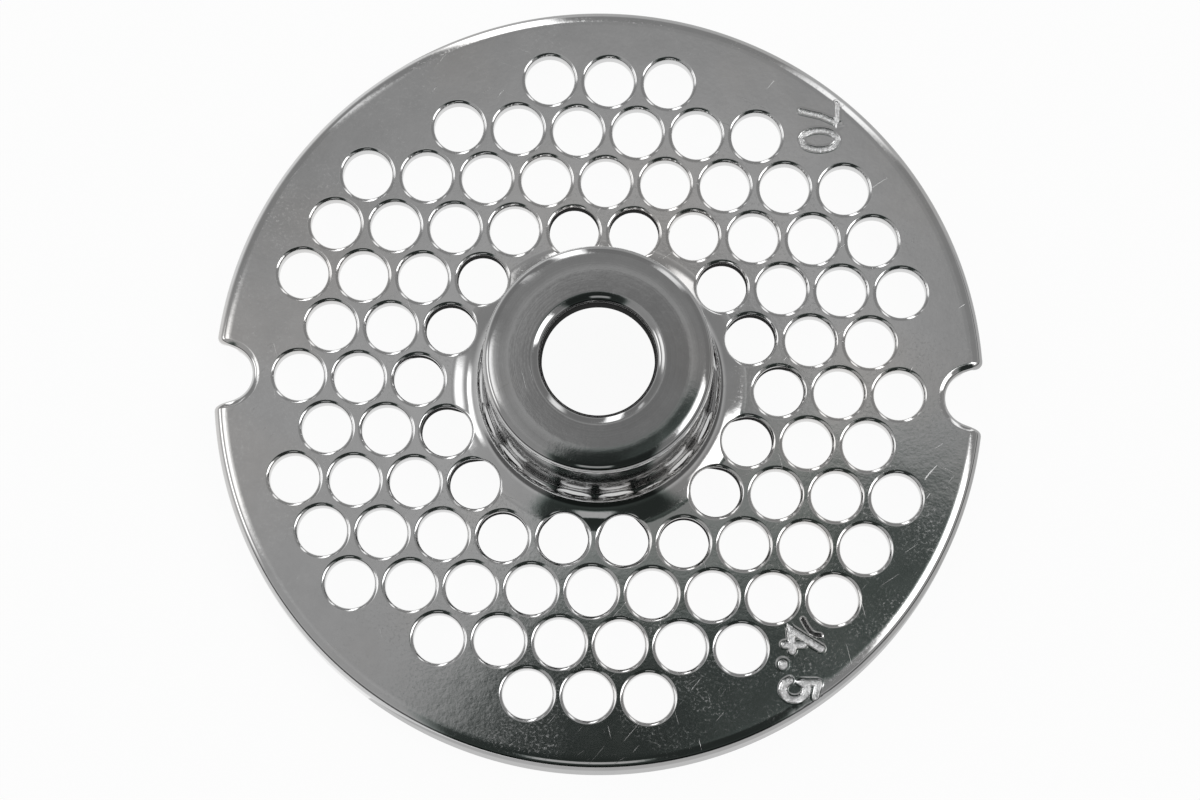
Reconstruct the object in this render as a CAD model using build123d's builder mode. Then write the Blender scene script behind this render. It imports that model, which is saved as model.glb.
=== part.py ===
"""Meat grinder plate of the common 70 mm (number 12) size, pressed from one stainless steel sheet.

The sheet is pierced with a staggered field of holes, its centre is drawn up into a hollow hub
that runs on the feed screw's pin, and its rim is turned down into a short skirt. Two notches in
the rim keep the plate from turning in the grinder's head.
The plate rests on its skirt: Z = 0 is the skirt's lower edge, +Z runs out through the hub, and
the notches lie on the X axis. Millimetres.
"""
import os
from math import ceil, cos, hypot, isclose, radians, sin, sqrt, tan

from build123d import *

# ---------------------------------------------------------------- driving dimensions
sheet_thickness = 1.5
plate_diameter = 70.0
rim_height = 5.0            # outer face of the web down to the skirt's lower edge
rim_edge_radius = 1.0       # outside corner from web to skirt, struck sharper than a free bend
rim_bend_inside = 0.25
skirt_edge_break = 0.3

hub_diameter = 20.4
hub_height = 13.5           # hub top above the web's outer face
hub_edge_radius = 1.1       # outside corner of the hub, struck in the same way
hub_edge_inside = 0.4
hub_root_radius = 3.0       # cove between the web and the hub wall

bore_diameter = 10.0
bore_edge_radius = 0.9
bore_collar_depth = 2.6     # hub top down to the collar's lower end
bore_collar_wall = 1.2
bore_collar_root = 0.4

hole_diameter = 4.5
hole_pitch = 5.45
hole_edge_break = 0.3
hub_land = 1.5              # least metal between a hole and the hub wall
rim_land = 1.75             # least metal between a hole and the skirt

notch_count = 2
notch_radius = 2.5          # round bottom of the notch
notch_depth = 3.5           # from the plate's outline to the notch's bottom
notch_flare = 16.0          # degrees that each flank opens towards the rim
notch_skirt_flare = 19.0    # degrees that each flank opens down the skirt
notch_edge_radius = 0.6     # rounding of the notch's edge, over the web and down the rim

# ---------------------------------------------------------------- derived dimensions
plate_radius = plate_diameter / 2
hub_radius = hub_diameter / 2
bore_radius = bore_diameter / 2
hole_radius = hole_diameter / 2

rim_fold_reach = sheet_thickness + rim_bend_inside    # skirt and inside bend, as seen from above
web_top = rim_height
web_bottom = web_top - sheet_thickness
hub_top = web_top + hub_height
hub_ceiling = hub_top - sheet_thickness
collar_bottom = hub_top - bore_collar_depth

row_spacing = hole_pitch * sqrt(3) / 2
field_inner = hub_radius + hub_land + hole_radius
field_outer = plate_radius - sheet_thickness - rim_land - hole_radius

flank = radians(notch_flare)
notch_centre_radius = plate_radius - notch_depth + notch_radius
notch_tangent_x = notch_centre_radius - notch_radius * sin(flank)
notch_tangent_y = notch_radius * cos(flank)
notch_mouth_x = plate_radius + notch_radius
notch_mouth_y = notch_tangent_y + (notch_mouth_x - notch_tangent_x) * tan(flank)
gap_foot_y = notch_tangent_y + web_top * tan(radians(notch_skirt_flare))


def staggered_field():
    """Hole centres: every point of the staggered lattice that clears the hub and the rim."""
    reach = ceil(field_outer / row_spacing)
    points = []
    for row in range(-reach, reach + 1):
        stagger = hole_pitch / 2 * (row % 2)
        for column in range(-reach - 1, reach + 1):
            x, y = column * hole_pitch + stagger, row * row_spacing
            if field_inner <= hypot(x, y) <= field_outer:
                points.append((x, y))
    return points


def is_notch_bottom_edge(edge):
    """True for the round edge between a notch's bottom and the web's outer face."""
    on_web = isclose(edge.center().Z, web_top, abs_tol=1e-3)
    return on_web and isclose(edge.radius, notch_radius, abs_tol=1e-3)


# ---------------------------------------------------------------- notch tools
# in plan, a round bottom whose flanks open outwards past the rim
with BuildSketch() as notch_plan:
    with BuildLine():
        bottom = ThreePointArc(
            (notch_tangent_x, notch_tangent_y),
            (notch_centre_radius - notch_radius, 0),
            (notch_tangent_x, -notch_tangent_y),
        )
        Polyline(bottom @ 1, (notch_mouth_x, -notch_mouth_y), (notch_mouth_x, notch_mouth_y), bottom @ 0)
    make_face()

# in the skirt, a gap that opens downwards, as the flared blank does once it is folded over
with BuildPart() as skirt_gap:
    with BuildSketch(Plane.YZ.offset(plate_radius - rim_fold_reach)):
        Polygon(
            (-notch_tangent_y, web_top),
            (notch_tangent_y, web_top),
            (gap_foot_y, 0),
            (-gap_foot_y, 0),
            align=None,
        )
    extrude(amount=2 * rim_fold_reach)

# ---------------------------------------------------------------- perforation tool
# one hole through web and cove, countersunk just enough to break its edge
with BuildPart() as punch:
    with BuildSketch(Plane.XZ):
        Polygon(
            (0, web_bottom),
            (hole_radius, web_bottom),
            (hole_radius, web_top - hole_edge_break),
            (hole_radius + hole_edge_break, web_top),
            (hole_radius + hole_edge_break, web_top + hub_root_radius),
            (0, web_top + hub_root_radius),
            align=None,
        )
    revolve(axis=Axis.Z)

# ---------------------------------------------------------------- grinder plate
with BuildPart() as grinder_plate:

    # pressed sheet, turned about the bore: skirt, web, hub wall, hub top and bore collar
    with BuildSketch(Plane.XZ):
        with BuildLine():
            outside = FilletPolyline(
                (plate_radius, 0),
                (plate_radius, web_top),
                (hub_radius, web_top),
                (hub_radius, hub_top),
                (bore_radius, hub_top),
                (bore_radius, collar_bottom),
                radius=(rim_edge_radius, hub_root_radius, hub_edge_radius, bore_edge_radius),
            )
            inside = FilletPolyline(
                (plate_radius - sheet_thickness, 0),
                (plate_radius - sheet_thickness, web_bottom),
                (hub_radius - sheet_thickness, web_bottom),
                (hub_radius - sheet_thickness, hub_ceiling),
                (bore_radius + bore_collar_wall, hub_ceiling),
                (bore_radius + bore_collar_wall, collar_bottom),
                radius=(
                    rim_bend_inside,
                    hub_root_radius + sheet_thickness,
                    hub_edge_inside,
                    bore_collar_root,
                ),
            )
            Line(outside @ 0, inside @ 0)
            Line(outside @ 1, inside @ 1)
        make_face()
    revolve(axis=Axis.Z)
    chamfer(grinder_plate.edges().group_by(Axis.Z)[0], skirt_edge_break)

    # locating notches, sheared through web and rim and rounded along their whole outer edge
    with BuildSketch():
        with PolarLocations(0, notch_count):
            add(notch_plan.sketch)
    extrude(amount=hub_top, mode=Mode.SUBTRACT)
    arcs = grinder_plate.edges().filter_by(GeomType.CIRCLE)
    fillet(arcs.filter_by(is_notch_bottom_edge), notch_edge_radius)
    with PolarLocations(0, notch_count):
        add(skirt_gap.part, mode=Mode.SUBTRACT)

    # perforation, pierced straight down through the web and the foot of the cove
    with Locations(*staggered_field()):
        add(punch.part, mode=Mode.SUBTRACT)

grinder_plate.part.label = "grinder_plate"

os.makedirs("parts", exist_ok=True)
export_step(grinder_plate.part, "parts/grinder_plate.step")
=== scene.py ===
from math import asin, cos, hypot, pi, radians, sin, sqrt, tan

import bmesh
import bpy
import numpy as np
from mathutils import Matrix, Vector, geometry


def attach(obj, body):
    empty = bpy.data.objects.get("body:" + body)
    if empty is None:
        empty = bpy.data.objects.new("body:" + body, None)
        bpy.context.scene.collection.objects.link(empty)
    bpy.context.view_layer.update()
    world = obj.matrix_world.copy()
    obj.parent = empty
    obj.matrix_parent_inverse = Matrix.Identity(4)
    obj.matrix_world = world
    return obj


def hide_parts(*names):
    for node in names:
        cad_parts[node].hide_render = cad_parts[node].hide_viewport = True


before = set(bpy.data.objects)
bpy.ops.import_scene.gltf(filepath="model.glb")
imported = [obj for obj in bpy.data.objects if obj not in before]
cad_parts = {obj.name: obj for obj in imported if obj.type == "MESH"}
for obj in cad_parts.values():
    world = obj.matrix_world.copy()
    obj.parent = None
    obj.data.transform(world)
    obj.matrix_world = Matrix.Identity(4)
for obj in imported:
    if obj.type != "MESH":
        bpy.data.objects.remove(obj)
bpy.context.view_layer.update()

# ------------------------------------------------------------------ camera
# Looks down on the plate as it lies, from a little in front of it and with a long lens, so that
# the near side of the hub's wall shows.
camera_data = bpy.data.cameras.new("camera")
camera_data.lens = 143.16
camera_data.sensor_width = 36.0
camera_data.clip_start = 0.01
camera = bpy.data.objects.new("camera", camera_data)
bpy.context.scene.collection.objects.link(camera)
bpy.context.scene.camera = camera
camera_right, camera_up, camera_back = 0.000102, -0.000469, 0.438079
camera.rotation_euler = (0.176174, 0.00319, 0.034013)
camera.location = camera.rotation_euler.to_matrix() @ Vector((camera_right, camera_up, camera_back))

# ------------------------------------------------------------------ grinder plate: the blank
# The plate is one piece of 1.5 mm stainless sheet: a disc is blanked with two locating notches,
# pierced, drawn up into a hub and folded down at its rim. This is the disc, laid out flat in
# millimetres, with x and y in the plane of the sheet and a depth below its outer face.
MM = 0.001
thickness = 1.5
web_top, plate_radius = 5.0, 35.0
hub_radius, cove_radius = 10.2, 3.0
rim_radius, foot_break = 1.0, 0.3
fold_radius, fold_start, web_end = 0.25, 33.25, 33.0

# where the cove and the rim begin and end, and the skirt's foot, measured out along the flat blank
cove_start = hub_radius + cove_radius
cove_end = cove_start - cove_radius * pi / 2
rim_start = plate_radius - rim_radius
rim_end = rim_start + rim_radius * pi / 2
foot = rim_end + web_top - rim_radius - foot_break

hole_radius, hole_pitch, hole_lip, hole_land = 2.25, 5.45, 0.30, 0.37
hole_steps, ring_steps = 48, 288
field_inner, field_outer, field_reach = 13.95, 29.5, 7
land_radius = hole_radius + hole_land
hole_centres = []
for row in range(-field_reach, field_reach + 1):
    for column in range(-field_reach, field_reach + 1):
        x, y = (column + 0.5 * (row % 2)) * hole_pitch, row * hole_pitch * sqrt(3) / 2
        if field_inner <= hypot(x, y) <= field_outer:
            hole_centres.append((x, y))
hole_centres = np.array(hole_centres)

notch_radius, notch_centre, notch_flare, notch_rounding = 2.5, 34.0, radians(16), 0.6
notch_margin, notch_clearance = 0.1, 0.24
flank_x = notch_centre - notch_radius * sin(notch_flare)
flank_y = notch_radius * cos(notch_flare)
flank_middle = 33.5
# half the notch's width on the skirt is at least skirt_half, and grows downwards by skirt_flare
skirt_flare, skirt_half, skirt_points = radians(19), 2.88, 8
rim_lean, rim_points, bottom_points = radians(76), 6, 14


def to_blank(x, y):
    """The place on the flat blank of a point seen from above on the finished web or rim."""
    r = hypot(x, y)
    along = r if r < rim_start else rim_start + rim_radius * asin(min(1.0, (r - rim_start) / rim_radius))
    return np.array((x, y)) * along / r


def flank_half(x):
    """Half the notch's width where its flared flank is that far out."""
    return flank_y + (x - flank_x) * tan(notch_flare)


def notch_edge():
    """One notch's edge on the blank, from the foot of one flank round its bottom to the other."""
    flank = []
    for height in np.linspace(foot_break, web_top - rim_radius, skirt_points):
        half = max(flank_y + (web_top - height) * tan(skirt_flare), skirt_half)
        along = rim_end + web_top - rim_radius - height
        flank.append(along * np.array((cos(asin(half / plate_radius)), half / plate_radius)))
    for lean in np.linspace(rim_lean, 0, rim_points):
        r = x = rim_start + rim_radius * sin(lean)
        for _ in range(4):
            y = flank_half(x)
            x = sqrt(r * r - y * y)
        flank.append(to_blank(x, y))
    flank.append(to_blank(flank_middle, flank_half(flank_middle)))
    bottom = []
    for turn in np.linspace(pi / 2 + notch_flare, pi, bottom_points)[:-1]:
        bottom.append(to_blank(notch_centre + notch_radius * cos(turn), notch_radius * sin(turn)))
    half = flank + bottom
    mirrored = [place * (1, -1) for place in reversed(half)]
    return np.array(half + [to_blank(notch_centre - notch_radius, 0)] + mirrored)


def offset_line(line, distance):
    """The same line moved sideways on the blank, away from the notch."""
    step = np.gradient(line, axis=0)
    normal = np.stack((step[:, 1], -step[:, 0]), axis=1)
    normal /= np.linalg.norm(normal, axis=1)[:, None]
    moved = line + normal * distance
    for end in (0, -1):
        moved[end] *= foot / np.linalg.norm(moved[end])
    return moved


def closed_outwards(line):
    """A notch's line made a polygon, closed well outside the blank."""
    beyond, widening = 45.0, 1.2
    return np.concatenate((line, [(beyond, line[-1][1] * widening), (beyond, line[0][1] * widening)]))


def circle(radius, steps, x=0.0, y=0.0):
    turn = np.arange(steps) * 2 * pi / steps
    return np.stack((x + radius * np.cos(turn), y + radius * np.sin(turn)), axis=1)


def inside(polygon, where):
    """True for each point that lies in the polygon."""
    x, y = where[:, 0], where[:, 1]
    found = np.zeros(len(where), bool)
    for (x0, y0), (x1, y1) in zip(polygon, np.roll(polygon, -1, axis=0)):
        crosses = (y0 > y) != (y1 > y)
        with np.errstate(divide="ignore", invalid="ignore"):
            found ^= crosses & (x < (x1 - x0) * (y - y0) / (y1 - y0) + x0)
    return found


points, depths, edges = [], [], []


def add_line(line, depth, closed=False):
    first = len(points)
    points.extend(line)
    depths.extend([depth] * len(line))
    edges.extend((first + i, first + i + 1) for i in range(len(line) - 1))
    if closed:
        edges.append((first + len(line) - 1, first))


for x, y in hole_centres:
    add_line(circle(land_radius, hole_steps, x, y), 0.0, closed=True)

# the notches' edges are rounded over where the sheet's outer face meets the cut
rounding_points = 7
edge_line = notch_edge()
bends = np.linspace(0, pi / 2, rounding_points)
edge_lines = [(notch_rounding * (1 - cos(bend)), notch_rounding * (1 - sin(bend))) for bend in bends]
edge_lines.append((notch_rounding + notch_margin, 0.0))
for side in (1, -1):
    for distance, depth in edge_lines:
        add_line(offset_line(edge_line, distance) * side, depth)
add_line(circle(cove_end, ring_steps), 0.0, closed=True)

# Plain numbers, struck into the margin one digit at a time: the size of the holes and the plate's
# diameter. Each is a few strokes of a blunt punch, given on a square one unit high. A gouge beside
# them is cut in the same way, only narrower.
glyphs = {
    "4": [[(0.52, 0.98), (0.0, 0.17), (0.58, 0.21)], [(0.41, 0.0), (0.41, 0.5)]],
    "5": [
        [(0.42, 0.90), (0.03, 0.97)]
        + [(0.23 + 0.27 * cos(t), 0.33 + 0.32 * sin(t)) for t in np.linspace(2.4, -2.7, 15)]
    ],
    "7": [[(0.0, 1.0), (0.55, 1.0), (0.36, 0.55), (0.24, 0.0)]],
    "0": [[(0.27 + 0.27 * cos(t), 0.5 + 0.5 * sin(t)) for t in np.linspace(0, 2 * pi, 25)]],
    ".": [[(0.0, 0.0), (0.03, 0.0)]],
}
number_height = 3.35
struck = [  # digit, place, turn in degrees, half width and depth of its strokes
    ("4", (17.45, -21.75), -88, 0.27, 0.11),
    (".", (17.4, -24.85), -90, 0.36, 0.12),
    ("5", (17.4, -26.4), -89, 0.27, 0.11),
    ("7", (17.6, 26.95), -89, 0.22, 0.10),
    ("0", (17.7, 24.35), -88, 0.22, 0.10),
]
cuts = []
for digit, place, turn, half, deep in struck:
    across = np.array((cos(radians(turn)), sin(radians(turn))))
    up = np.array((-across[1], across[0]))
    for stroke in glyphs[digit]:
        cuts.append((half, deep, [place + number_height * (u * across + v * up) for u, v in stroke]))
gouge = [(19.08, -20.78), (19.48, -21.45), (19.85, -21.93), (20.28, -22.15), (20.7, -22.2)]
gouge_half, gouge_depth = 0.16, 0.10
cuts.append((gouge_half, gouge_depth, [np.array(place) for place in gouge]))
cut_kinds = sorted({(half, deep) for half, deep, _ in cuts})

# lines of points run beside each cut, this many half widths from its middle
cut_lines = (0.0, 0.45, 0.8, 1.0, 1.35, 1.7, 2.1, 2.6)
cut_spacing, cut_slack, cut_margin, land_margin = 0.11, 0.012, 0.1, 0.06
nearest_allowed, points_compared = 0.035, 400
# the burr's middle and width in half widths of its cut, and its height as a share of the depth
burr_middle, burr_width, burr_height = 1.35, 0.35, 0.10


def cut_distance(where, half, deep):
    """How far each point is from the middle line of the nearest cut of that width and depth."""
    nearest = np.full(len(where), 1e9)
    for cut_half, cut_deep, stroke in cuts:
        if (cut_half, cut_deep) != (half, deep):
            continue
        for a, b in zip(stroke, stroke[1:]):
            span = b - a
            along = np.clip(((where - a) @ span) / (span @ span), 0, 1)
            nearest = np.minimum(nearest, np.linalg.norm(where - a - along[:, None] * span, axis=1))
    return nearest


def cut_depth(where):
    """The depth of the struck cuts, and the low burr that each throws up along its edges."""
    depth = np.zeros(len(where))
    for half, deep in cut_kinds:
        share = cut_distance(where, half, deep) / half
        groove = deep * np.sqrt(np.clip(1 - share**2, 0, 1))
        burr = burr_height * deep * np.clip(1 - np.abs(share - burr_middle) / burr_width, 0, 1)
        depth += groove - burr
    return depth


def clear_of_cuts(where):
    """True for each point outside the lines beside every cut."""
    reach = cut_lines[-1]
    clear = [cut_distance(where, half, deep) > half * reach + cut_margin for half, deep in cut_kinds]
    return np.all(clear, axis=0)


def hole_gap(where):
    """How far each point is from the centre of the nearest hole."""
    away = where[:, None] - hole_centres
    return np.hypot(away[..., 0], away[..., 1]).min(axis=1)


# rings of points where the cove and the rim will bend, left out at holes, cuts and notches
ring_margin, ring_clearance = 0.3, 0.1
cove_steps, rim_steps = 12, 9
rings = [cove_end + (cove_start - cove_end) * k / cove_steps for k in range(1, cove_steps + 1)]
rings += [cove_start + ring_margin, web_end, rim_start - ring_margin]
rings += [rim_start + (rim_end - rim_start) * k / rim_steps for k in range(rim_steps + 1)]
rings += [rim_end + ring_margin, (rim_end + ring_margin + foot) / 2, foot]
notch_zone = closed_outwards(offset_line(edge_line, notch_rounding + notch_clearance))
for radius in rings:
    ring = circle(radius, ring_steps)
    keep = (hole_gap(ring) > land_radius + ring_clearance) & clear_of_cuts(ring)
    keep &= ~(inside(notch_zone, ring) | inside(-notch_zone, ring))
    points.extend(ring[keep])
    depths.extend([0.0] * int(keep.sum()))

for half, deep, stroke in cuts:
    lengths = np.concatenate(([0], np.cumsum([np.linalg.norm(b - a) for a, b in zip(stroke, stroke[1:])])))
    spots = np.linspace(0, lengths[-1], max(2, int(lengths[-1] / cut_spacing)) + 1)
    line = np.stack([np.interp(spots, lengths, np.array(stroke)[:, k]) for k in (0, 1)], axis=1)
    step = np.gradient(line, axis=0)
    normal = np.stack((-step[:, 1], step[:, 0]), axis=1) / np.linalg.norm(step, axis=1)[:, None]
    for share in cut_lines:
        distance = share * half
        beside = [line + normal * distance, line - normal * distance]
        for end, outward in ((0, -1), (-1, 1)):
            heading = np.arctan2(*(step[end] * outward)[::-1])
            turns = heading + np.linspace(-pi / 2, pi / 2, max(3, int(distance * pi / cut_spacing) + 2))
            beside.append(line[end] + distance * np.stack((np.cos(turns), np.sin(turns)), axis=1))
        beside = np.concatenate(beside if share else beside[:1])
        beside = beside[np.abs(cut_distance(beside, half, deep) - distance) < cut_slack]
        beside = beside[hole_gap(beside) > land_radius + land_margin]
        for place in beside:
            if all(hypot(*(place - other)) > nearest_allowed for other in points[-points_compared:]):
                points.append(place)
                depths.append(0.0)

# the outer face is divided into triangles between all these points, open at holes, notches and hub
point_gap = 1e-5
corners = [Vector((float(x), float(y))) for x, y in points]
out_points, _, triangles, origin, _, _ = geometry.delaunay_2d_cdt(corners, edges, [], 0, point_gap, True)
flat = np.array([p[:] for p in out_points])
depth = np.array([depths[o[0]] if o else 0.0 for o in origin])
depth = depth + cut_depth(flat)
triangles = np.array([t for t in triangles if len(t) == 3])
middle = flat[triangles].mean(axis=1)
notch_cut = closed_outwards(edge_line)
land_reach = land_radius * cos(pi / hole_steps) * 0.999
keep = hole_gap(middle) > land_reach
keep &= ~(inside(notch_cut, middle) | inside(-notch_cut, middle))
keep &= np.hypot(middle[:, 0], middle[:, 1]) > cove_end
triangles = triangles[keep]

# the two faces of the sheet, and the sheared wall between them along the notches and the rim, with
# its foot's two edges broken
on_line = 0.01
count = len(flat)
upper = np.column_stack((flat, depth))
lower = np.column_stack((flat, np.full(count, thickness)))
blank_faces = [tuple(t) for t in triangles] + [tuple(t[::-1] + count) for t in triangles]
sides = {pair for a, b, c in triangles for pair in ((a, b), (b, c), (c, a))}
wall, wall_points = {}, []
for a, b, c in triangles:
    for pair in ((a, b), (b, c), (c, a)):
        if pair[::-1] in sides or min(hypot(*flat[pair[0]]), hypot(*flat[pair[1]])) < cove_start:
            continue
        if hole_gap(flat[[pair[0]]])[0] < land_radius + on_line:
            continue
        for v in pair:
            if v not in wall:
                at_foot = hypot(*flat[v]) > foot - on_line
                wall[v] = (2 * count + len(wall_points), 2 * count + len(wall_points) + 1)
                for share in (0.2, 0.8):
                    x, y = flat[v] * (1 + foot_break / foot) if at_foot else flat[v]
                    wall_points.append((x, y, upper[v, 2] + (thickness - upper[v, 2]) * share))
        down_a, down_b = [(v, *wall[v], v + count) for v in pair]
        for i in range(3):
            blank_faces.append((down_b[i], down_a[i], down_a[i + 1], down_b[i + 1]))
blank_points = np.concatenate((upper, lower, wall_points)) * (1, 1, -1) * MM

blank_mesh = bpy.data.meshes.new("blank")
blank_mesh.from_pydata(blank_points.tolist(), [], [tuple(int(i) for i in face) for face in blank_faces])
plate = bpy.data.objects.new("pressed_plate", blank_mesh)
bpy.context.scene.collection.objects.link(plate)

# ------------------------------------------------------------------ grinder plate: perforation
# The 90 cutting holes are pierced from the outer face, so each has a mouth drawn in to a soft round
# lip, a plain sheared wall and a crisp edge on the knife's side. One hole is turned from its
# section and set on every point of the staggered field that clears the hub and the rim.


class Wire:
    """A node's output socket. + - * / > < on it add the Math nodes that work them out."""

    def __init__(self, socket):
        self.socket = socket

    @staticmethod
    def node(tree, kind, settings=None, sockets=None, out=0):
        made = tree.nodes.new(kind)
        for name, value in (settings or {}).items():
            setattr(made, name, value)
        for name, value in (sockets or {}).items():
            if isinstance(value, Wire):
                tree.links.new(value.socket, made.inputs[name])
            else:
                made.inputs[name].default_value = value
        return Wire(made.outputs[out])

    def maths(self, operation, other=None, swap=False):
        tree = self.socket.id_data
        values = [self] if other is None else [other, self] if swap else [self, other]
        return self.node(tree, "ShaderNodeMath", {"operation": operation}, dict(enumerate(values)))

    def axis(self, name):
        return self.node(self.socket.id_data, "ShaderNodeSeparateXYZ", {}, {0: self}, name)

    def length(self):
        tree = self.socket.id_data
        return self.node(tree, "ShaderNodeVectorMath", {"operation": "LENGTH"}, {0: self}, "Value")

    def __add__(self, other):
        return self.maths("ADD", other)

    def __radd__(self, other):
        return self.maths("ADD", other)

    def __sub__(self, other):
        return self.maths("SUBTRACT", other)

    def __rsub__(self, other):
        return self.maths("SUBTRACT", other, swap=True)

    def __mul__(self, other):
        return self.maths("MULTIPLY", other)

    def __rmul__(self, other):
        return self.maths("MULTIPLY", other)

    def __truediv__(self, other):
        return self.maths("DIVIDE", other)

    def __rtruediv__(self, other):
        return self.maths("DIVIDE", other, swap=True)

    def __gt__(self, other):
        return self.maths("GREATER_THAN", other)

    def __lt__(self, other):
        return self.maths("LESS_THAN", other)


weld_gap = 0.003 * MM
steel = bpy.data.materials.new("polished_stainless")
perforate = bpy.data.node_groups.new("perforate", "GeometryNodeTree")
perforate.interface.new_socket(name="Geometry", in_out="OUTPUT", socket_type="NodeSocketGeometry")
perforate.interface.new_socket(name="Blank", in_out="INPUT", socket_type="NodeSocketGeometry")
hole_inputs = {
    "Hole radius": hole_radius * MM,
    "Hole pitch": hole_pitch * MM,
    "Lip": hole_lip * MM,
    "Land": hole_land * MM,
    "Back break": 0.07 * MM,
    "Thickness": thickness * MM,
    "Field inner": field_inner * MM,
    "Field outer": field_outer * MM,
}
for name in hole_inputs:
    perforate.interface.new_socket(name=name, in_out="INPUT", socket_type="NodeSocketFloat")
perforate.interface.new_socket(name="Steel", in_out="INPUT", socket_type="NodeSocketMaterial")
group_in = perforate.nodes.new("NodeGroupInput")
given = {socket.name: Wire(socket) for socket in group_in.outputs if socket.name}

# one hole: a strip bent round into a ring, each row of it one place on the hole's section. From the
# outer face down they are the land's edge, the lip from its start to its end, the wall's foot, the
# broken edge on the back and the back's own edge, as wide as the land.
lip_steps = 6
section_steps = lip_steps + 4
strip = Wire.node(
    perforate, "GeometryNodeMeshGrid", {},
    {
        "Size X": float(hole_steps), "Vertices X": hole_steps + 1,
        "Size Y": float(section_steps), "Vertices Y": section_steps + 1,
    },
)
place = Wire.node(perforate, "GeometryNodeInputPosition")
turn = (place.axis("X") + hole_steps / 2) * (2 * pi / hole_steps)
step = (place.axis("Y") + section_steps / 2).maths("ROUND")


def from_step(first, length=1):
    """0 before that row of the section, and 1 from length rows later on."""
    return Wire.node(
        perforate, "ShaderNodeMapRange", {"clamp": True},
        {0: step, 1: float(first), 2: float(first + length), 3: 0.0, 4: 1.0},
    )


lip_turn = from_step(1, lip_steps) * (pi / 2)
back_turn = from_step(lip_steps + 2)
lip, land, back = given["Lip"], given["Land"], given["Back break"]
ring_radius = (
    given["Hole radius"]
    + lip * (1 - lip_turn.maths("SINE"))
    + (land - lip) * (1 - from_step(0))
    + back * back_turn
    + (land - back) * from_step(lip_steps + 3)
)
ring_depth = (
    lip * (1 - lip_turn.maths("COSINE"))
    + (given["Thickness"] - lip - back) * from_step(lip_steps + 1)
    + back * back_turn
)
ring_place = Wire.node(
    perforate, "ShaderNodeCombineXYZ", {},
    {"X": ring_radius * turn.maths("COSINE"), "Y": ring_radius * turn.maths("SINE"), "Z": 0 - ring_depth},
)
hole = Wire.node(perforate, "GeometryNodeSetPosition", {}, {"Geometry": strip, "Position": ring_place})

# the staggered field: each hole has six neighbours one pitch away, and the field is kept between a
# clearance round the hub and one inside the rim
field_width = 2 * field_reach + 1
index = Wire.node(perforate, "GeometryNodeInputIndex")
row_number = (index / field_width).maths("FLOOR") - field_reach
column_number = index.maths("MODULO", field_width) - field_reach
pitch = given["Hole pitch"]
lattice_place = Wire.node(
    perforate, "ShaderNodeCombineXYZ", {},
    {
        "X": (column_number + 0.5 * row_number.maths("FLOORED_MODULO", 2)) * pitch,
        "Y": row_number * pitch * (sqrt(3) / 2),
    },
)
lattice = Wire.node(
    perforate, "GeometryNodePoints", {}, {"Count": field_width**2, "Position": lattice_place}
)
distance_out = Wire.node(perforate, "GeometryNodeInputPosition").length()
off_field = (distance_out < given["Field inner"]) + (distance_out > given["Field outer"])
field = Wire.node(
    perforate, "GeometryNodeDeleteGeometry", {"domain": "POINT"},
    {"Geometry": lattice, "Selection": off_field},
)
holes = Wire.node(perforate, "GeometryNodeInstanceOnPoints", {}, {"Points": field, "Instance": hole})
holes = Wire.node(perforate, "GeometryNodeRealizeInstances", {}, {"Geometry": holes})

# the holes are welded into the openings that the blank leaves for them
joined = perforate.nodes.new("GeometryNodeJoinGeometry")
perforate.links.new(holes.socket, joined.inputs[0])
perforate.links.new(given["Blank"].socket, joined.inputs[0])
welded = Wire.node(
    perforate, "GeometryNodeMergeByDistance", {}, {"Geometry": Wire(joined.outputs[0]), "Distance": weld_gap}
)
finished = Wire.node(
    perforate, "GeometryNodeSetMaterial", {}, {"Geometry": welded, "Material": given["Steel"]}
)
group_out = perforate.nodes.new("NodeGroupOutput")
perforate.links.new(finished.socket, group_out.inputs[0])

piercing = plate.modifiers.new("perforate", "NODES")
piercing.node_group = perforate
for socket in perforate.interface.items_tree:
    if socket.in_out == "INPUT" and socket.name in hole_inputs:
        piercing[socket.identifier] = hole_inputs[socket.name]
    elif socket.name == "Steel":
        piercing[socket.identifier] = steel
pierced = bpy.data.meshes.new_from_object(plate.evaluated_get(bpy.context.evaluated_depsgraph_get()))
plate.modifiers.clear()

# ------------------------------------------------------------------ grinder plate: pressing
# The press draws the middle of the blank up into the hub and folds its edge down into the skirt,
# struck square outside. A point keeps its bearing round the axis; how far out it lies says where
# it ends on the section's outer line, and its depth how far it lies towards the inner line.
flat_points = np.empty(len(pierced.vertices) * 3)
pierced.vertices.foreach_get("co", flat_points)
flat_points = flat_points.reshape(-1, 3) / MM
out = np.hypot(flat_points[:, 0], flat_points[:, 1])
fold = np.clip((out - rim_start) / rim_radius, 0, pi / 2)
down = np.maximum(out - rim_end, 0)
outer_r = np.minimum(out, rim_start) + rim_radius * np.sin(fold)
outer_z = web_top - rim_radius * (1 - np.cos(fold)) - down
inner_r = np.interp(out, (0, web_end, rim_start), (0, web_end, fold_start)) + fold_radius * np.sin(fold)
inner_drop = (web_top - thickness - fold_radius - foot_break) / (foot - rim_end)
inner_z = web_top - thickness - fold_radius * (1 - np.cos(fold)) - down * inner_drop
share = -flat_points[:, 2] / thickness
radius = outer_r + (inner_r - outer_r) * share
height = outer_z + (inner_z - outer_z) * share

draw = np.clip((cove_start - out) / cove_radius, 0, pi / 2)
in_cove = out < cove_start
radius = np.where(in_cove, cove_start - (cove_radius - flat_points[:, 2]) * np.sin(draw), radius)
raised = web_top + cove_radius * (1 - np.cos(draw)) + flat_points[:, 2] * np.cos(draw)
height = np.where(in_cove, raised, height)
formed = flat_points / out[:, None] * radius[:, None]
formed[:, 2] = height

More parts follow.
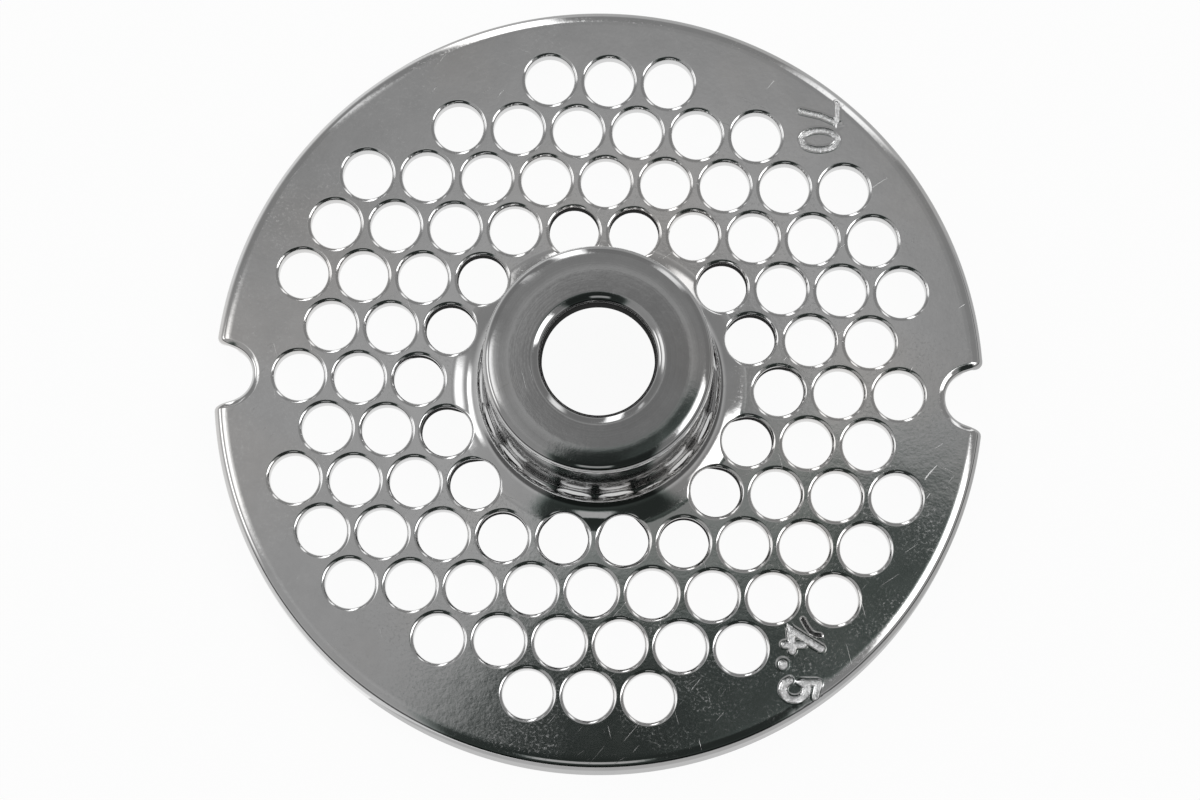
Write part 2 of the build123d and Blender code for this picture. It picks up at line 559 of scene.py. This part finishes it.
# ------------------------------------------------------------------ grinder plate: hub
# The hub is a cup drawn from the same sheet, struck square at its top, with a turned-in collar
# that runs on the feed screw's pin. It is turned from its section and welded to the cove.
hub_top, hub_ceiling, hub_corner = 18.5, 17.0, 0.8
crown_start, crown_lean = 7.8, 3.0
bore_radius, bore_rounding = 5.0, 0.9
collar_radius, collar_bottom, collar_break = 6.2, 15.9, 0.12
inner_radius, inner_corner = hub_radius - thickness, 0.4
hub_foot = web_top + cove_radius
crown_end = hub_radius - hub_corner + hub_corner * sin(radians(crown_lean))
crown_drop = (crown_end - crown_start) * tan(radians(crown_lean)) / 2


def corner(centre_x, centre_z, size, start, end, steps):
    """Points round a corner of the section, from one angle to another, in degrees."""
    return [
        (centre_x + size * cos(radians(a)), centre_z + size * sin(radians(a)))
        for a in np.linspace(start, end, steps + 1)
    ]


# up the outer wall, over the corner and the slightly crowned top, down the bore and back inside;
# the points between the corners only divide the long stretches
section = [(hub_radius, height) for height in (hub_foot, 10.5, 14.0, hub_top - 1.0)]
corner_height = hub_top - crown_drop - hub_corner * cos(radians(crown_lean))
section += corner(hub_radius - hub_corner, corner_height, hub_corner, 0, 90 - crown_lean, 12)
for share in (0.85, 0.7, 0.55, 0.4, 0.25, 0.1, 0.0):
    section.append((crown_start + share * (crown_end - crown_start), hub_top - crown_drop * share**2))
section += [(6.9, hub_top), (6.1, hub_top)]
section += corner(bore_radius + bore_rounding, hub_top - bore_rounding, bore_rounding, 90, 180, 10)
section += [(bore_radius, 17.4), (bore_radius, 16.2)]
section += corner(bore_radius + collar_break, collar_bottom + collar_break, collar_break, 180, 270, 3)
section += corner(collar_radius - collar_break, collar_bottom + collar_break, collar_break, 270, 360, 3)
section.append((collar_radius, 16.3))
section += corner(collar_radius + inner_corner, hub_ceiling - inner_corner, inner_corner, 180, 90, 4)
section.append((7.4, hub_ceiling))
section += corner(inner_radius - inner_corner, hub_ceiling - inner_corner, inner_corner, 90, 0, 4)
section += [(inner_radius, 12.0), (inner_radius, hub_foot)]

turns = np.arange(ring_steps) * 2 * pi / ring_steps
hub_points = np.concatenate([
    np.stack((r * np.cos(turns), r * np.sin(turns), np.full(ring_steps, z)), axis=1) for r, z in section
])
first_hub = len(formed)
hub_faces = []
for i in range(len(section) - 1):
    for j in range(ring_steps):
        a, b = first_hub + i * ring_steps + j, first_hub + i * ring_steps + (j + 1) % ring_steps
        hub_faces.append((a, b, b + ring_steps, a + ring_steps))

# the bottoms of the struck cuts keep the punch's coarse face, and the gouge's faces are coloured near black
deepest_cut = 0.3
centres = np.empty(len(pierced.polygons) * 3)
pierced.polygons.foreach_get("center", centres)
centres = centres.reshape(-1, 3) / MM
polished, coarse, near_black = 0, 1, 2
finish = np.full(len(centres) + len(hub_faces), polished)
for half, deep in cut_kinds:
    in_cut = (cut_distance(centres[:, :2], half, deep) < half * 1.02) & (centres[:, 2] > -deepest_cut)
    finish[: len(centres)][in_cut] = near_black if half == gouge_half else coarse

mesh = bpy.data.meshes.new("pressed_plate")
all_points = np.concatenate((formed, hub_points)) * MM
mesh.from_pydata(all_points.tolist(), [], [tuple(p.vertices) for p in pierced.polygons] + hub_faces)
struck_steel = bpy.data.materials.new("struck_stainless")
near_black_gouge = bpy.data.materials.new("dark_gouge")
for finish_material in (steel, struck_steel, near_black_gouge):
    mesh.materials.append(finish_material)
mesh.polygons.foreach_set("material_index", finish)

shape = bmesh.new()
shape.from_mesh(mesh)
bmesh.ops.remove_doubles(shape, verts=shape.verts, dist=weld_gap)
loose = [v for v in shape.verts if not v.link_faces]
bmesh.ops.delete(shape, geom=loose, context="VERTS")
bmesh.ops.recalc_face_normals(shape, faces=shape.faces)
shape.to_mesh(mesh)
shape.free()
mesh.shade_smooth()
mesh.set_sharp_from_angle(angle=radians(38))
plate.data = mesh

# ------------------------------------------------------------------ grinder plate: polish
# The outer face is polished almost to a mirror, over a faint unevenness left by the press and the
# buffing wheel, with the fine scratches of use. The hub's top is finished on the lathe.


def empty_tree(owner):
    """The owner's node tree, with nothing in it."""
    owner.use_nodes = True
    owner.node_tree.nodes.clear()
    return owner.node_tree


def finish_tree(tree, surface, kind="ShaderNodeOutputMaterial"):
    tree.links.new(surface.socket, tree.nodes.new(kind).inputs["Surface"])


def object_place(tree):
    return Wire.node(tree, "ShaderNodeTexCoord", {}, {}, "Object")


def colour_of(red, green, blue):
    tree = red.socket.id_data
    return Wire.node(tree, "ShaderNodeCombineColor", {}, {"Red": red, "Green": green, "Blue": blue}, "Color")


def noise(vector, scale, detail=2.0, roughness=0.5):
    """Noise from 0 to 1 with features of about 1/scale metres."""
    return Wire.node(
        vector.socket.id_data, "ShaderNodeTexNoise", {},
        {"Vector": vector, "Scale": scale, "Detail": detail, "Roughness": roughness}, "Fac",
    )


def over(value, low, high):
    """0 where the value is below low and 1 where it is above high."""
    return Wire.node(
        value.socket.id_data, "ShaderNodeMapRange", {"clamp": True},
        {0: value, 1: low, 2: high, 3: 0.0, 4: 1.0},
    )


def bumped(height):
    """The normal of a surface whose relief is that high, in metres."""
    return Wire.node(
        height.socket.id_data, "ShaderNodeBump", {},
        {"Strength": 1.0, "Distance": 1.0, "Height": height}, "Normal",
    )


def scratches(vector, turn, length, width, share, shift):
    """Thin straight scratches that run one way, over about that share of the surface."""
    tree = vector.socket.id_data
    turned = Wire.node(
        tree, "ShaderNodeMapping", {"vector_type": "POINT"},
        {"Vector": vector, "Location": (shift, 0.3 * shift, 0), "Rotation": (0, 0, radians(turn))}, "Vector",
    )
    drawn_out = Wire.node(
        tree, "ShaderNodeVectorMath", {"operation": "MULTIPLY"},
        {0: turned, 1: (1 / length, 1 / width, 1 / length)}, "Vector",
    )
    worn = over(noise(vector, 90.0, 2.0, 0.6), 0.42, 0.62)
    low = 0.82 - 0.55 * share
    return over(noise(drawn_out, 1.0, 1.0) * (0.88 + 0.12 * worn), low, low + 0.04)


# heights and depths in metres, then the plain values that the marks are added to
wave_height, cloud_height, grain_height = 9e-6, 3.0e-6, 1.3e-6
lathe_height, scratch_depth = 5e-7, 1.6e-6
steel_tone, hub_darker = 0.54, 0.11
polish_roughness, scratch_roughness, speck_roughness = 0.045, 0.10, 0.16

tree = empty_tree(steel)
spot = object_place(tree)
spot_x, spot_y, spot_z = spot.axis("X"), spot.axis("Y"), spot.axis("Z")
from_axis = (spot_x * spot_x + spot_y * spot_y).maths("SQRT")
top_of_hub = over(spot_z, 17.9 * MM, 18.2 * MM)
waves = noise(spot, 120.0, 2.0, 0.45)
grain = noise(spot, 2400.0, 3.0, 0.6)
cloud = noise(spot, 420.0, 4.0, 0.6)
marks = scratches(spot, 18, 0.006, 0.00012, 0.125, 0.0)
for way in (
    (-35, 0.005, 0.00010, 0.13, 0.031),
    (74, 0.006, 0.00011, 0.115, 0.057),
    (128, 0.004, 0.00012, 0.12, 0.083),
):
    marks = marks.maths("MAXIMUM", scratches(spot, *way))
lathe_lines, lathe_drift = 9000.0, 60.0
round_axis = {"X": from_axis * lathe_lines, "Y": spot_x * lathe_drift, "Z": spot_y * lathe_drift}
lathe = noise(Wire.node(tree, "ShaderNodeCombineXYZ", {}, round_axis), 1.0, 2.0, 0.6)
specks = over(noise(spot, 3600.0, 2.0, 0.7), 0.52, 0.72) * over(noise(spot, 260.0, 3.0, 0.6), 0.38, 0.62)
relief = waves * wave_height + grain * grain_height + cloud * cloud_height - marks * scratch_depth
relief = relief + lathe * top_of_hub * lathe_height
# a faint warm tint in random patches over the steel, painted in for a warm reflection
painted_warm_tint = over(noise(spot, 70.0), 0.5, 0.7)
tone = steel_tone + 0.11 * cloud + 0.03 * grain - hub_darker * top_of_hub - 0.08 * lathe * top_of_hub
roughness = polish_roughness + 0.03 * cloud + scratch_roughness * marks
roughness = roughness + speck_roughness * specks * (1 - 0.7 * top_of_hub)
finish_tree(tree, Wire.node(
    tree, "ShaderNodeBsdfPrincipled", {},
    {
        "Base Color": colour_of(tone * (1 + 0.02 * painted_warm_tint), tone, tone * (1 - 0.02 * painted_warm_tint)),
        "Metallic": 1.0,
        "Roughness": roughness,
        "Normal": bumped(relief),
    },
    "BSDF",
))

# the coarse faces left by the punches, and the near-black faces of the gouge
grit_height = 2.4e-5
for material, dark, light, rough in ((struck_steel, 0.50, 0.92, 0.30), (near_black_gouge, 0.02, 0.10, 0.5)):
    tree = empty_tree(material)
    grit = noise(object_place(tree), 5200.0, 3.0, 0.6)
    tone = dark + (light - dark) * over(grit, 0.35, 0.62)
    finish_tree(tree, Wire.node(
        tree, "ShaderNodeBsdfPrincipled", {},
        {
            "Base Color": colour_of(tone, tone, tone),
            "Metallic": 0.85,
            "Roughness": rough + 0.15 * grit,
            "Normal": bumped(grit * grit_height),
        },
        "BSDF",
    ))

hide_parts("grinder_plate")
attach(plate, "root")

# ------------------------------------------------------------------ floor
# A large sheet of matt white paper that the plate lies on. The lens sees it white. The brightness that
# the steel mirrors is painted on by place: painted light, white, under the web, a painted shadow, dark,
# round the hub, and duller outside the plate except at the left. The places are in metres, from the plate's
# axis.
paper_reach = 3.0
painted_shadow_end, web_end_over_paper, left_side = 0.0168, 0.0345, -0.02
painted_shadow_glow, painted_web_glow, painted_outside_glow, painted_left_glow = 0.03, 0.9, 0.55, 0.35

floor_mesh = bpy.data.meshes.new("floor")
floor_corners = [(x * paper_reach, y * paper_reach, 0) for x, y in ((-1, -1), (1, -1), (1, 1), (-1, 1))]
floor_mesh.from_pydata(floor_corners, [], [(0, 1, 2, 3)])
floor_sheet = bpy.data.objects.new("floor", floor_mesh)
bpy.context.scene.collection.objects.link(floor_sheet)
paper = bpy.data.materials.new("white_paper")
floor_mesh.materials.append(paper)


def ray_is(tree, kind):
    """1 for a ray of that kind, such as one straight from the lens, and 0 for any other."""
    return Wire.node(tree, "ShaderNodeLightPath", {}, {}, f"Is {kind} Ray")


tree = empty_tree(paper)
seen, mirrored, through = ray_is(tree, "Camera"), ray_is(tree, "Glossy"), ray_is(tree, "Transmission")
spot = object_place(tree)
from_middle = spot.length()
under_web = (from_middle > painted_shadow_end) * (from_middle < web_end_over_paper)
outside = from_middle > web_end_over_paper
# painted light and a painted shadow on the paper: the brightness that the steel mirrors, set by place
painted_glow = painted_shadow_glow + painted_web_glow * under_web + painted_outside_glow * outside
painted_glow = painted_glow + painted_left_glow * outside * (spot.axis("X") < left_side)
painted_glow = painted_glow.maths("MAXIMUM", seen)
matt = Wire.node(tree, "ShaderNodeBsdfDiffuse", {}, {"Color": (0.9, 0.9, 0.9, 1)})
painted_paper_light = Wire.node(tree, "ShaderNodeEmission", {}, {"Color": colour_of(painted_glow, painted_glow, painted_glow), "Strength": 1.0})
shown = (0.95 * seen).maths("MAXIMUM", mirrored.maths("MAXIMUM", through))
finish_tree(tree, Wire.node(tree, "ShaderNodeMixShader", {}, {0: shown, 1: matt, 2: painted_paper_light}))

# ------------------------------------------------------------------ light
# A room with a pale ceiling, bright panels round it and a dark wall in front, laid out round the
# direction that the flat of the plate mirrors. A place in it has a bearing, in degrees clockwise
# from the far side of the table, and a spread, in degrees from that direction. The lens sees white.
lean = radians(10.3)

world = bpy.data.worlds.new("studio")
bpy.context.scene.world = world
tree = empty_tree(world)
toward = Wire.node(tree, "ShaderNodeTexCoord", {}, {}, "Generated")


def along(x, y, z):
    """How far the light's direction points along that one."""
    return Wire.node(
        tree, "ShaderNodeVectorMath", {"operation": "DOT_PRODUCT"}, {0: toward, 1: (x, y, z)}, "Value"
    )


east, north, middle = along(1, 0, 0), along(0, cos(lean), -sin(lean)), along(0, sin(lean), cos(lean))
bearing = east.maths("ARCTAN2", north) * (180 / pi)
near_bearing = east.maths("ARCTAN2", 0 - north) * (180 / pi)
spread = middle.maths("ARCCOSINE") * (180 / pi)


def ramp(value, start, end):
    """0 up to start and 1 past end, with a soft run between them."""
    return Wire.node(
        tree, "ShaderNodeMapRange", {"clamp": True, "interpolation_type": "SMOOTHSTEP"},
        {0: value, 1: float(start), 2: float(end), 3: 0.0, 4: 1.0},
    )


def panel(turn, start, end, near, far, soft, soft_spread):
    """1 on a panel between two bearings and two spreads, and 0 outside its soft edges."""
    across = ramp(turn, start - soft / 2, start + soft / 2) * (1 - ramp(turn, end - soft / 2, end + soft / 2))
    inner_edge = ramp(spread, near - soft_spread / 2, near + soft_spread / 2)
    return across * inner_edge * (1 - ramp(spread, far - soft_spread, far + soft_spread))


def mixed(share, first, second):
    """One colour where the share is 0, and the other where it is 1."""
    return Wire.node(tree, "ShaderNodeMix", {"data_type": "RGBA"}, {"Factor": share, 6: first, 7: second}, 2)


# the ceiling is brightest close round that direction and low down round the room
level = 0.56 - 0.20 * ramp(spread, 1.5, 5) - 0.05 * ramp(spread, 6, 20) + 0.33 * ramp(spread, 60, 84)
bright_panels = (  # strength, bearings, spreads, and the softness of its sides and of its ends
    (0.14, -165, -75, 5, 70, 20, 12),
    (1.4, -112, -80, 9, 34, 12, 9),
    (1.9, -112, -80, 51, 66, 10, 7),
    (2.3, -23, -9, 12, 80, 5, 6),
    (0.7, -45, -39, 8, 40, 3, 8),
    (1.2, 28, 43, 16, 68, 9, 12),
    (2.8, 98, 129, 9, 56, 7, 5),
)
for strength, *place in bright_panels:
    level = level + strength * panel(bearing, *place)

# a dull patch lies right where the flat of the plate looks, and the dark side of the room has its low
# wall, its middle, one corner and a small window. Its bearings count from the near side of the table.
level = level * (1 - 0.8 * panel(near_bearing, -72, 122, 78, 116, 12, 8))
level = level * (0.52 + 0.48 * ramp(spread, 1.3, 2.3))
shade = panel(near_bearing, -27, 36, 2.2, 128, 9, 2.4)
corner_shade = panel(near_bearing, 36, 74, 2.2, 7.5, 12, 2.4)
front_light = panel(near_bearing, -10, 9, 40, 62, 4, 4)
level = level * (1 - 0.90 * shade) * (1 - 0.86 * corner_shade)
level = level + 0.5 * front_light + 0.05 * panel(near_bearing, 12, 75, 4.0, 9, 12, 1.5)

white, green_cast = (1, 1, 1, 1), (0.84, 1.02, 0.95, 1)
seen = ray_is(tree, "Camera")
tint = mixed(shade.maths("MAXIMUM", corner_shade) * (1 - front_light), white, green_cast)
sky_inputs = {"Color": mixed(seen, tint, white), "Strength": level * (1 - seen) + seen}
finish_tree(tree, Wire.node(tree, "ShaderNodeBackground", {}, sky_inputs), "ShaderNodeOutputWorld")

bpy.context.scene.view_settings.view_transform = "Standard"
